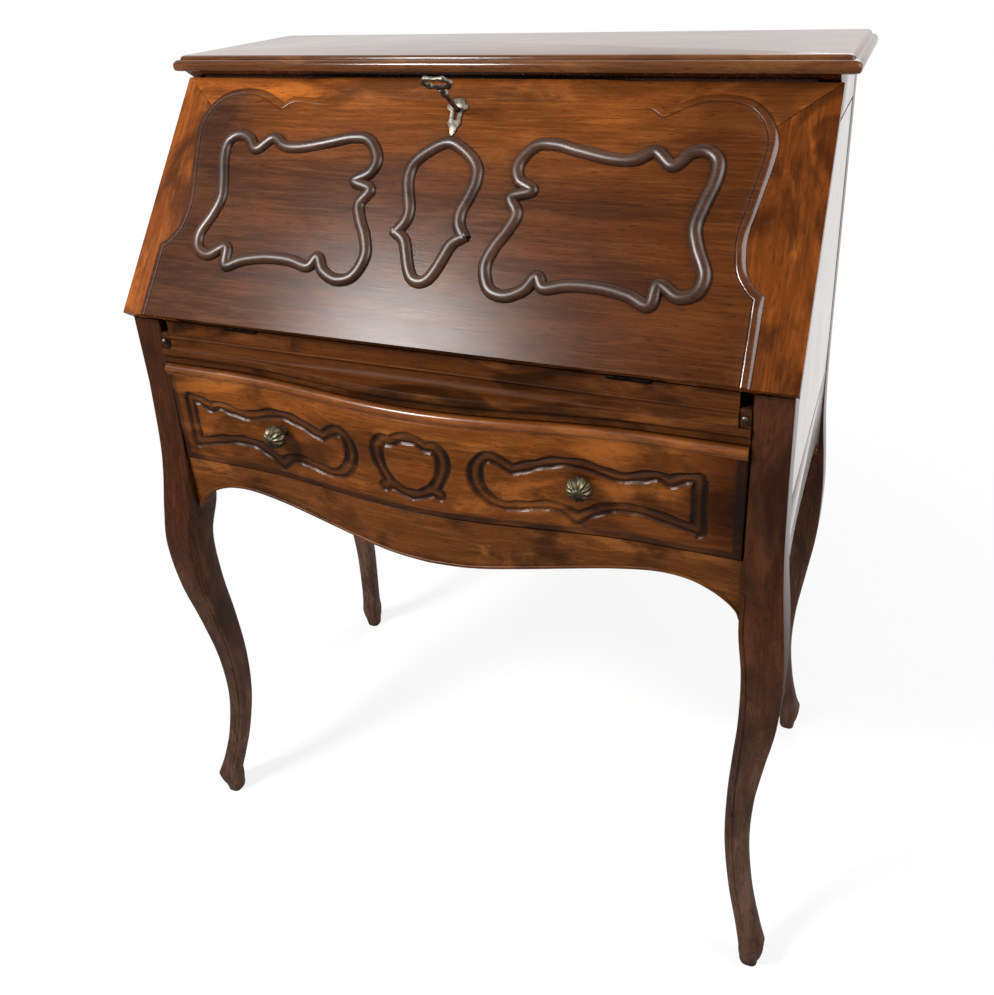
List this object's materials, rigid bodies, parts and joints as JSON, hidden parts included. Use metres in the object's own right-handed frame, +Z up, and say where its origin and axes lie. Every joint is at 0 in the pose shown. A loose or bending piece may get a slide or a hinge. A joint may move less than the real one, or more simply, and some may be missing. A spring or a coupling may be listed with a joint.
{
  "type": "slant-front desk",
  "caption": "Walnut writing desk on cabriole legs: a carved sloping lid that opens on pull-out lopers, a bowed long drawer, small drawers and pigeonholes inside.",
  "frame": {"origin": "on the floor, under the middle of the overall box", "axes": "+Z up, -Y out of the front, +X to the right of someone facing the front"},
  "size_m": [0.776, 0.4303, 1],
  "materials": {
    "walnut": "gloss varnish",
    "walnut_warm": "gloss varnish",
    "walnut_dark": "gloss varnish",
    "inner_wood": "wax",
    "brass": "aged",
    "steel": "aged"
  },
  "bodies": {
    "case": {"top_board": "walnut", "lid_stop_rail": "walnut", "front_left_leg": "walnut_dark", "front_right_leg": "walnut_dark", "back_left_leg": "walnut_dark", "back_right_leg": "walnut_dark", "left_slope_stile": "walnut_warm", "right_slope_stile": "walnut_warm", "left_top_rail": "walnut", "right_top_rail": "walnut", "left_side_panel": "walnut", "right_side_panel": "walnut", "left_side_apron": "walnut", "right_side_apron": "walnut", "back_panel": "inner_wood", "writing_board": "inner_wood", "upper_front_rail": "walnut", "front_apron": "walnut_warm", "left_drawer_runner": "inner_wood", "right_drawer_runner": "inner_wood", "left_kicker": "inner_wood", "right_kicker": "inner_wood", "left_partition": "inner_wood", "right_partition": "inner_wood", "left_shelf": "inner_wood", "right_shelf": "inner_wood", "left_hinge_fixed_leaf": "brass", "right_hinge_fixed_leaf": "brass", "left_hinge_pin": "steel", "right_hinge_pin": "steel"},
    "lid": {"lid_panel": "walnut", "lid_left_stile": "walnut_warm", "lid_right_stile": "walnut_warm", "lid_top_rail": "walnut_warm", "lid_field": "walnut", "left_moulding": "walnut_dark", "centre_moulding": "walnut_dark", "right_moulding": "walnut_dark", "escutcheon": "brass", "lock_case": "steel", "left_hinge_lid_leaf": "brass", "right_hinge_lid_leaf": "brass"},
    "key": {"key": "brass"},
    "lock_bolt": {"lock_bolt": "steel"},
    "drawer": {"drawer_front": "walnut_warm", "drawer_left_side": "inner_wood", "drawer_right_side": "inner_wood", "drawer_back": "inner_wood", "drawer_bottom": "inner_wood", "drawer_left_knob": "brass", "drawer_right_knob": "brass"},
    "left_loper": {"left_loper": "walnut"},
    "right_loper": {"right_loper": "walnut"},
    "left_small_drawer": {"left_small_drawer_front": "walnut", "left_small_drawer_tray": "inner_wood", "left_small_drawer_knob": "brass"},
    "right_small_drawer": {"right_small_drawer_front": "walnut", "right_small_drawer_tray": "inner_wood", "right_small_drawer_knob": "brass"}
  },
  "joints": [
    {"name": "lid_hinge", "type": "hinge", "parent": "case", "child": "lid", "pos_m": [0, -0.17439, 0.7345], "axis": [1, 0, 0], "range_deg": [0, 128]},
    {"name": "key_turn", "type": "hinge", "parent": "lid", "child": "key", "pos_m": [-0.008, -0.01555, 0.93781], "axis": [0, -0.788, 0.6157], "range_deg": [0, 180]},
    {"name": "bolt_slide", "type": "slide", "parent": "lid", "child": "lock_bolt", "axis": [0, 0.6157, 0.788], "range_m": [0, 0.007]},
    {"name": "drawer_slide", "type": "slide", "parent": "case", "child": "drawer", "axis": [0, -1, 0], "range_m": [0, 0.205]},
    {"name": "left_loper_slide", "type": "slide", "parent": "case", "child": "left_loper", "axis": [0, -1, 0], "range_m": [0, 0.2]},
    {"name": "right_loper_slide", "type": "slide", "parent": "case", "child": "right_loper", "axis": [0, -1, 0], "range_m": [0, 0.2]},
    {"name": "left_small_drawer_slide", "type": "slide", "parent": "case", "child": "left_small_drawer", "axis": [0, -1, 0], "range_m": [0, 0.09]},
    {"name": "right_small_drawer_slide", "type": "slide", "parent": "case", "child": "right_small_drawer", "axis": [0, -1, 0], "range_m": [0, 0.09]}
  ],
  "couplings": [
    {"joint": "key_turn", "follows": "bolt_slide", "rad_per_m": 448.8}
  ]
}
